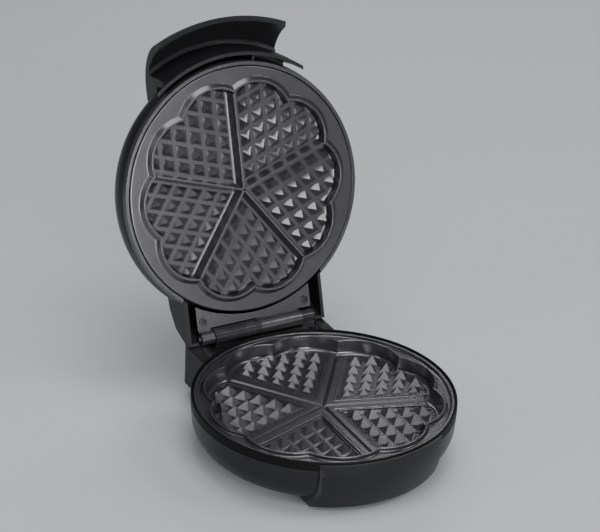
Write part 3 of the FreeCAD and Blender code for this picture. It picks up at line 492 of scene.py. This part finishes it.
def pad_prism(name, side, arc, floor):
    """Heart-shaped prism that cuts the lattice to its pad."""
    return skin(name, [heart_line(side, arc, floor - 1), heart_line(side, arc, floor + 9)])


# %% [markdown]
# ## Lattice of pyramids
#
# The pyramids stand on a slanted grid whose two rows run beside the heart's dividers. Geometry Nodes lay
# it out: a grid of points, a four-sided cone on each, a slant of the whole, a cut to the pad, and five
# copies round the axis. The cut is an exact boolean, because the clipped pyramids at the edge show.

# %% Geometry Nodes tree for the hearts
def hearts_tree():
    tree, given, out = open_tree(
        "five hearts", "GeometryNodeTree",
        [("Parts of one heart", "NodeSocketGeometry", None), ("Pad", "NodeSocketObject", None),
         ("Pitch", "NodeSocketFloat", 11.7), ("Bar", "NodeSocketFloat", 2.4),
         ("First bar", "NodeSocketFloat", 20.4), ("Edge", "NodeSocketFloat", 9.1),
         ("Height", "NodeSocketFloat", 6.0), ("Floor", "NodeSocketFloat", 0.0),
         ("Rows", "NodeSocketInt", 7), ("Hearts", "NodeSocketInt", HEARTS),
         ("Finish", "NodeSocketMaterial", None)],
        [("Geometry", "NodeSocketGeometry", None)])
    span = calc(tree, "SUBTRACT", given["Rows"], 1.0)
    grid = place(tree, "GeometryNodeMeshGrid", {"Size X": span, "Size Y": span,
                                                "Vertices X": given["Rows"], "Vertices Y": given["Rows"]})
    position = place(tree, "GeometryNodeInputPosition").outputs[0]
    spot = place(tree, "ShaderNodeSeparateXYZ", {0: position})

    def cell(axis):
        """Middle and width of the cell that a grid point stands for, along one row direction."""
        order = calc(tree, "ADD", spot.outputs[axis], calc(tree, "DIVIDE", span, 2.0))
        bar = calc(tree, "MULTIPLY_ADD", order, given["Pitch"], given["First bar"])
        high = calc(tree, "SUBTRACT", bar, calc(tree, "DIVIDE", given["Bar"], 2.0))
        low = calc(tree, "ADD", calc(tree, "SUBTRACT", bar, given["Pitch"]),
                   calc(tree, "DIVIDE", given["Bar"], 2.0))
        low = calc(tree, "MAXIMUM", low, given["Edge"])
        return calc(tree, "DIVIDE", calc(tree, "ADD", low, high), 2.0), calc(tree, "SUBTRACT", high, low)

    (middle_x, width_x), (middle_y, width_y) = cell("X"), cell("Y")
    cone = place(tree, "GeometryNodeMeshCone", {"Vertices": 4, "Radius Top": 0.0,
                                                "Radius Bottom": math.sqrt(0.5), "Depth": 1.0})
    square = place(tree, "GeometryNodeTransform", {"Geometry": cone.outputs["Mesh"],
                                                   "Rotation": (0, 0, math.pi / 4)})
    sized = place(tree, "ShaderNodeCombineXYZ", {0: width_x, 1: width_y, 2: given["Height"]})
    stood = place(tree, "GeometryNodeInstanceOnPoints", {
        "Points": grid.outputs["Mesh"], "Instance": square.outputs["Geometry"],
        "Scale": sized.outputs[0]})
    moved = place(tree, "GeometryNodeSetPosition", {
        "Geometry": stood.outputs["Instances"],
        "Position": place(tree, "ShaderNodeCombineXYZ",
                          {0: middle_x, 1: middle_y, 2: given["Floor"]}).outputs[0]})
    loose = place(tree, "GeometryNodeRealizeInstances", {"Geometry": moved.outputs[0]})
    slant = [heart_point(1, 0), heart_point(0, 1)]
    spread = place(tree, "ShaderNodeSeparateXYZ", {0: position})
    row = [calc(tree, "MULTIPLY_ADD", spread.outputs["X"], slant[0][axis] * MM,
                calc(tree, "MULTIPLY", spread.outputs["Y"], slant[1][axis] * MM)) for axis in (0, 1)]
    slanted = place(tree, "GeometryNodeSetPosition", {
        "Geometry": loose.outputs[0],
        "Position": place(tree, "ShaderNodeCombineXYZ", {
            0: row[0], 1: row[1], 2: calc(tree, "MULTIPLY", spread.outputs["Z"], MM)}).outputs[0]})
    pad = place(tree, "GeometryNodeObjectInfo", {"Object": given["Pad"]})
    clipped = place(tree, "GeometryNodeMeshBoolean", operation="INTERSECT", solver="EXACT")
    tree.links.new(slanted.outputs[0], clipped.inputs["Mesh 2"])
    tree.links.new(pad.outputs["Geometry"], clipped.inputs["Mesh 2"])
    heart = place(tree, "GeometryNodeJoinGeometry")
    tree.links.new(clipped.outputs["Mesh"], heart.inputs[0])
    tree.links.new(given["Parts of one heart"], heart.inputs[0])
    order = place(tree, "GeometryNodeInputIndex").outputs[0]
    turn = calc(tree, "MULTIPLY", order, calc(tree, "DIVIDE", 2 * math.pi, given["Hearts"]))
    ring = place(tree, "GeometryNodeInstanceOnPoints", {
        "Points": place(tree, "GeometryNodePoints", {"Count": given["Hearts"]}).outputs[0],
        "Instance": heart.outputs[0],
        "Rotation": place(tree, "ShaderNodeCombineXYZ", {2: turn}).outputs[0]})
    real = place(tree, "GeometryNodeRealizeInstances", {"Geometry": ring.outputs[0]})
    done = place(tree, "GeometryNodeSetMaterial", {"Geometry": real.outputs[0],
                                                   "Material": given["Finish"]})
    tree.links.new(done.outputs[0], out["Geometry"])
    return tree


FIVE_HEARTS = hearts_tree()


def set_inputs(modifier, values):
    """Sets a Geometry Nodes modifier's inputs by their labels."""
    named = {item.name: item.identifier for item in modifier.node_group.interface.items_tree
             if item.in_out == "INPUT"}
    for label, value in values.items():
        modifier[named[label]] = value


def hearts(name, parts, pad, edge_width, **values):
    """One heart's own parts, its lattice cut to the pad, and the other four like it."""
    with bpy.context.temp_override(active_object=parts[0], selected_editable_objects=parts,
                                   selected_objects=parts):
        bpy.ops.object.join()
    whole = parts[0]
    whole.name = name
    repeat = whole.modifiers.new("five hearts", "NODES")
    repeat.node_group = FIVE_HEARTS
    set_inputs(repeat, {"Pad": pad, "Finish": coating, **values})
    rounded(whole, edge_width, 2, angle=28)
    pad.hide_render = True
    plain(whole, HEART_CREASE)
    bpy.data.objects.remove(pad)
    return whole


# %% [markdown]
# ## Lower plate
#
# From the outside in: a raised rim, the overflow gutter, the thin batter lip, the deep wall of the
# recess with a wide fillet at its foot, and the floor. The dividers are broad bands with a groove along
# the middle and a fine one beside each edge, and a low double ridge runs round each heart.

# %% Lower plate
FLOOR, GUTTER = -11.5, -3.0
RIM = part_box("lower_plate")[1].x / MM
WALL = 3.5
LATTICE_INSET = 2.9


def lower_casting():
    under = [(LIP_ARC + 1.6, FLOOR - WALL), (LIP_ARC + 1.6, GUTTER - WALL)]
    tray = filleted([(RIM - 1, GUTTER - WALL, 0), (RIM, GUTTER - WALL, 0.6), (RIM, -0.6, 0.5),
                     (RIM - 2.3, -0.6, 0.6), (RIM - 3.0, GUTTER, 1.2), (RIM - 5.5, GUTTER, 0)])
    lip = filleted([(LIP_ARC + 3.4, GUTTER, 0), (LIP_ARC + 1.9, GUTTER, 1.1), (LIP_ARC + 1.5, 0, 0.6),
                    (LIP_ARC, 0, 0.6), (LIP_ARC - 1.4, FLOOR, 3.0), (LIP_ARC - 6.0, FLOOR, 0)], step=15)
    lines = [flower_line(*point) for point in under]
    lines += [round_line(*point) for point in tray]
    lines += [flower_line(*point) for point in lip]
    lines = [[point + ON_AXIS for point in line] for line in lines]
    return plain(skin("lower_plate_casting", lines), CAST_CREASE)


hand_over(lower_casting(), "base", ["lower_plate"], "nonstick")

BAND, BAND_TOP = 7.7, FLOOR + 2.1
half_band = [(-BAND, FLOOR - 0.4, 0), (-BAND + 0.2, BAND_TOP, 0.4), (-BAND + 1.5, BAND_TOP, 0.15),
             (-BAND + 1.7, BAND_TOP - 0.6, 0.1), (-BAND + 2.3, BAND_TOP - 0.6, 0.1),
             (-BAND + 2.5, BAND_TOP, 0.15), (-1.35, BAND_TOP, 0.35)]
band_section = filleted(half_band + [(0, BAND_TOP - 1.9, 0.2)]
                        + [(-across, up, radius) for across, up, radius in reversed(half_band)], step=30)
PAD_SIDE, PAD_ARC = BAND + 0.9, LIP_ARC - 4.4
ridge = filleted([(-0.3, FLOOR - 0.3, 0), (0.1, FLOOR + 1.5, 0.3), (0.8, FLOOR + 1.5, 0.3),
                  (1.2, FLOOR + 0.1, 0.15), (1.9, FLOOR + 0.1, 0.15), (2.2, FLOOR + 1.2, 0.25),
                  (2.8, FLOOR + 1.2, 0.25), (3.2, FLOOR - 0.3, 0)], step=45)
border = skin("pad_border", [heart_line(PAD_SIDE + inset, PAD_ARC - inset, up) for inset, up in ridge],
              capped=False)
bar = divider("divider_band", band_section, reach_of(0, LIP_ARC - 1.4) - 1.0, 4.0)
pad = pad_prism("pad_cutter", PAD_SIDE + LATTICE_INSET, PAD_ARC - LATTICE_INSET, FLOOR)
lower_hearts = hearts("lower_plate_hearts", [border, bar], pad, 0.22 * MM, Height=6.3, Floor=FLOOR - 0.3)
lower_hearts.data.transform(Matrix.Translation(ON_AXIS))
hand_over(lower_hearts, "base", ["lower_plate"], "nonstick")

# %% [markdown]
# ## Upper plate
#
# It is drawn face up, as if it lay on its back, and then laid face down on the lower plate and turned
# open with the lid. A narrow ridge follows the flower and dips into the lower recess when shut.

# %% Upper plate
PLATE_GAP = 0.35
CREST = 2.7
UPPER_FLOOR = CREST - 7.2
SHUT_PLACE = Matrix.Translation((0, AXIS_Y, LIP + PLATE_GAP * MM))
FACE_DOWN = OPEN @ SHUT_PLACE @ Matrix.Rotation(math.pi, 4, "Y")
UPPER_EDGE = 90.9
CREST_ARC = LIP_ARC - 5.5
UPPER_PAD_SIDE = 4.6


def upper_casting():
    back = [(CREST_ARC + 3.2, UPPER_FLOOR - WALL), (CREST_ARC + 3.2, -WALL)]
    ring = filleted([(UPPER_EDGE - 1, -WALL, 0), (UPPER_EDGE, -WALL, 0.4), (UPPER_EDGE, 0, 0.9),
                     (UPPER_EDGE - 3, 0, 0)])
    ridge_profile = filleted([
        (CREST_ARC + 5.0, 0, 0), (CREST_ARC + 3.4, 0, 0.8), (CREST_ARC + 0.75, CREST, 0.25),
        (CREST_ARC - 0.75, CREST, 0.25), (CREST_ARC - 2.0, UPPER_FLOOR, 1.2),
        (CREST_ARC - 5.5, UPPER_FLOOR, 0)], step=20)
    lines = [flower_line(*point) for point in back]
    lines += [round_line(*point) for point in ring]
    lines += [flower_line(*point) for point in ridge_profile]
    made = plain(skin("upper_plate_casting", lines), CAST_CREASE)
    made.data.transform(FACE_DOWN)
    return made


hand_over(upper_casting(), "lid", ["upper_plate"], "nonstick")
upper_section = filleted([(-3.2, UPPER_FLOOR - 0.4, 0), (-0.75, CREST, 0.25), (0.75, CREST, 0.25),
                          (3.2, UPPER_FLOOR - 0.4, 0)], step=30)
spine = divider("upper_divider", upper_section, reach_of(0, CREST_ARC - 0.5), 0.8)
upper_pad = pad_prism("upper_pad_cutter", UPPER_PAD_SIDE, CREST_ARC - LATTICE_INSET, UPPER_FLOOR)
upper_hearts = hearts("upper_plate_hearts", [spine], upper_pad, 0.18 * MM, Height=5.0,
                      Floor=UPPER_FLOOR - 0.3, Edge=4.8, **{"First bar": 14.0})
upper_hearts.data.transform(FACE_DOWN)
hand_over(upper_hearts, "lid", ["upper_plate"], "nonstick")

# %% [markdown]
# ## Casings, handle and hinge
#
# These have their right shape in the frame. What they lack is the small radius that every moulded edge
# has and that catches the light, so each gets a bevel of its own width, given here in mm.

# %% Casings, handle and hinge
for node, body, width in (
        ("lower_housing", "base", 0.8), ("front_lug", "base", 0.7),
        ("hinge_leaf", "base", 0.3), ("spacer_ring", "base", 0.2), ("lid_shell", "lid", 0.7),
        ("lid_rim", "lid", 0.35), ("handle", "lid", 0.6), ("lid_bracket", "lid", 0.3),
        ("front_feet", "base", 0.6), ("rear_feet", "base", 0.6), ("cord_gland", "base", 0.5),
        ("bottom_cover", "base", 0.3), ("power_lamp", "lid", 0.8), ("ready_lamp", "lid", 0.8)):
    softened(node, node + "_moulded", body, width * MM)
# The base band takes the darker black: painted shade in the gap under the plate's rim.
softened("base_band", "base_band_moulded", "base", 0.35 * MM, material=painted_shade_black)

# %% [markdown]
# ## Bead and rib of the handle
#
# A fine bead runs along the deepest line of the finger hollow, where the two halves of the mould met, and
# a small rib bridges the slot between the handle's flange and the lid. The bead is a round section
# carried along an arc about the lid's axis; the rib is a block with rounded edges.

# %% Bead and rib
SHUT_TO_OPEN = OPEN @ Matrix.Translation(ON_AXIS)
HOLLOW_RADIUS, HOLLOW_ROOF, HOLLOW_HALF = 107.2, 29.6, 48.3
BEAD_THICKNESS = 0.5
RIB_TURN, RIB_REACH, RIB_HEIGHT, RIB_HALF = 0.22, (94.6, 99.4), (3.4, 12.0), 0.8


def swept_bead(name, radius, height, half_width, thickness, around_it=10, along_it=72):
    """Round bead on an arc about the lid's axis, at the handle side, as far as half_width each way."""
    reach = math.asin(half_width / radius)
    sides = [2 * math.pi * part / around_it for part in range(around_it)]
    section = [(radius + thickness * math.cos(side), height + thickness * math.sin(side))
               for side in sides]
    rings = []
    for step in range(along_it + 1):
        turn = -reach + 2 * reach * step / along_it
        rings.append([around(turn, out, up) for out, up in section])
    made = skin(name, rings)
    made.data.transform(SHUT_TO_OPEN)
    return plain(made, CAST_CREASE)


bead = swept_bead("handle_bead", HOLLOW_RADIUS, HOLLOW_ROOF, HOLLOW_HALF, BEAD_THICKNESS)
hand_over(bead, "lid", ["handle"], "casing")


def slot_rib():
    """Small block between lid and flange, a little to one side of the middle of the handle."""
    inner, outer = RIB_REACH
    corners = [around(RIB_TURN + side * RIB_HALF / inner, reach, height) for height in RIB_HEIGHT
               for side, reach in ((-1, inner), (1, inner), (1, outer), (-1, outer))]
    made = mesh_object("handle_rib", corners, [(0, 1, 2, 3), (4, 7, 6, 5), (0, 4, 5, 1), (1, 5, 6, 2),
                                               (2, 6, 7, 3), (3, 7, 4, 0)])
    outward(made)
    rounded(made, 0.3 * MM, 3)
    made.data.transform(SHUT_TO_OPEN)
    return plain(made)


hand_over(slot_rib(), "lid", ["handle"], "casing")

# %% [markdown]
# ## Screws
#
# A screw head is a short drum with a cross cut into it. One tree makes the head and its shank once and
# sets a copy on every point it is given; the cross is a boolean, so it is real and holds a shadow.

# %% Geometry Nodes tree for screws
HEAD_HEIGHT = 1.2
CROSS_TURN = 0.4


def screws_tree():
    tree, given, out = open_tree(
        "cross-head screws", "GeometryNodeTree",
        [("Places", "NodeSocketGeometry", None), ("Head radius", "NodeSocketFloat", 3.0),
         ("Head height", "NodeSocketFloat", HEAD_HEIGHT), ("Shank radius", "NodeSocketFloat", 1.5),
         ("Shank length", "NodeSocketFloat", 5.0), ("Slot", "NodeSocketFloat", 1.0),
         ("Facing", "NodeSocketFloat", 0.0), ("Finish", "NodeSocketMaterial", None)],
        [("Geometry", "NodeSocketGeometry", None)])

    def drum(radius, low, high):
        made = place(tree, "GeometryNodeMeshCylinder", {
            "Vertices": 40, "Radius": radius, "Depth": calc(tree, "SUBTRACT", high, low)})
        middle = calc(tree, "DIVIDE", calc(tree, "ADD", low, high), 2.0)
        return place(tree, "GeometryNodeTransform", {
            "Geometry": made.outputs["Mesh"],
            "Translation": place(tree, "ShaderNodeCombineXYZ", {2: middle}).outputs[0]}).outputs[0]

    def slot(turn):
        length = calc(tree, "MULTIPLY", given["Head radius"], 1.25)
        made = place(tree, "GeometryNodeMeshCube", {"Size": place(tree, "ShaderNodeCombineXYZ", {
            0: length, 1: given["Slot"], 2: given["Head height"]}).outputs[0]})
        lifted = calc(tree, "MULTIPLY", given["Head height"], 1.05)
        return place(tree, "GeometryNodeTransform", {
            "Geometry": made.outputs["Mesh"], "Rotation": (0, 0, turn),
            "Translation": place(tree, "ShaderNodeCombineXYZ", {2: lifted}).outputs[0]}).outputs[0]

    head = drum(given["Head radius"], 0.0, given["Head height"])
    cut = place(tree, "GeometryNodeMeshBoolean", {"Mesh 1": head}, operation="DIFFERENCE", solver="EXACT")
    for turn in (CROSS_TURN, CROSS_TURN + math.pi / 2):
        tree.links.new(slot(turn), cut.inputs["Mesh 2"])
    shank = drum(given["Shank radius"], calc(tree, "MULTIPLY", given["Shank length"], -1.0),
                 calc(tree, "MULTIPLY", given["Head height"], 0.2))
    screw = place(tree, "GeometryNodeJoinGeometry")
    tree.links.new(cut.outputs["Mesh"], screw.inputs[0])
    tree.links.new(shank, screw.inputs[0])
    small = place(tree, "GeometryNodeTransform", {"Geometry": screw.outputs[0], "Scale": (MM, MM, MM)})
    stood = place(tree, "GeometryNodeInstanceOnPoints", {
        "Points": given["Places"], "Instance": small.outputs[0],
        "Rotation": place(tree, "ShaderNodeCombineXYZ", {0: given["Facing"]}).outputs[0]})
    real = place(tree, "GeometryNodeRealizeInstances", {"Geometry": stood.outputs[0]})
    done = place(tree, "GeometryNodeSetMaterial", {"Geometry": real.outputs[0],
                                                   "Material": given["Finish"]})
    tree.links.new(done.outputs[0], out["Geometry"])
    return tree


SCREWS = screws_tree()


def loose_boxes(node, pose):
    """Box of each separate solid of a CAD node, in the place where it was drawn."""
    work = bmesh.new()
    work.from_mesh(frame["nodes"][node].data)
    bmesh.ops.remove_doubles(work, verts=work.verts, dist=WELD)
    left, boxes = set(work.verts), []
    while left:
        island, edge = set(), [left.pop()]
        while edge:
            vertex = edge.pop()
            island.add(vertex)
            near = {link.other_vert(vertex) for link in vertex.link_edges} & left
            left -= near
            edge += near
        spots = [pose.inverted() @ vertex.co for vertex in island]
        boxes.append((Vector(map(min, zip(*spots))), Vector(map(max, zip(*spots)))))
    work.free()
    return boxes


def screw_set(node, body, pose, facing):
    """Screws in place of a CAD node's; facing is 1 where the heads look up as drawn, -1 where down."""
    boxes = loose_boxes(node, pose)
    radius = (boxes[0][1].x - boxes[0][0].x) / 2
    length = boxes[0][1].z - boxes[0][0].z - HEAD_HEIGHT * MM
    spots = []
    for low, high in boxes:
        top = high.z - HEAD_HEIGHT * MM if facing > 0 else low.z + HEAD_HEIGHT * MM
        spots.append(((low.x + high.x) / 2, (low.y + high.y) / 2, top))
    piece = mesh_object(node + "_crosshead", spots, [])
    made = piece.modifiers.new("screws", "NODES")
    made.node_group = SCREWS
    set_inputs(made, {"Head radius": radius / MM, "Shank length": length / MM,
                      "Facing": 0.0 if facing > 0 else math.pi, "Finish": screw_steel})
    rounded(piece, 0.15 * MM, 2)
    plain(piece)
    piece.data.transform(pose)
    hand_over(piece, body, [node], "screw")


screw_set("bracket_screws", "lid", OPEN, -1)
screw_set("hinge_leaf_screws", "base", Matrix.Identity(4), 1)
screw_set("bottom_screws", "base", Matrix.Identity(4), -1)
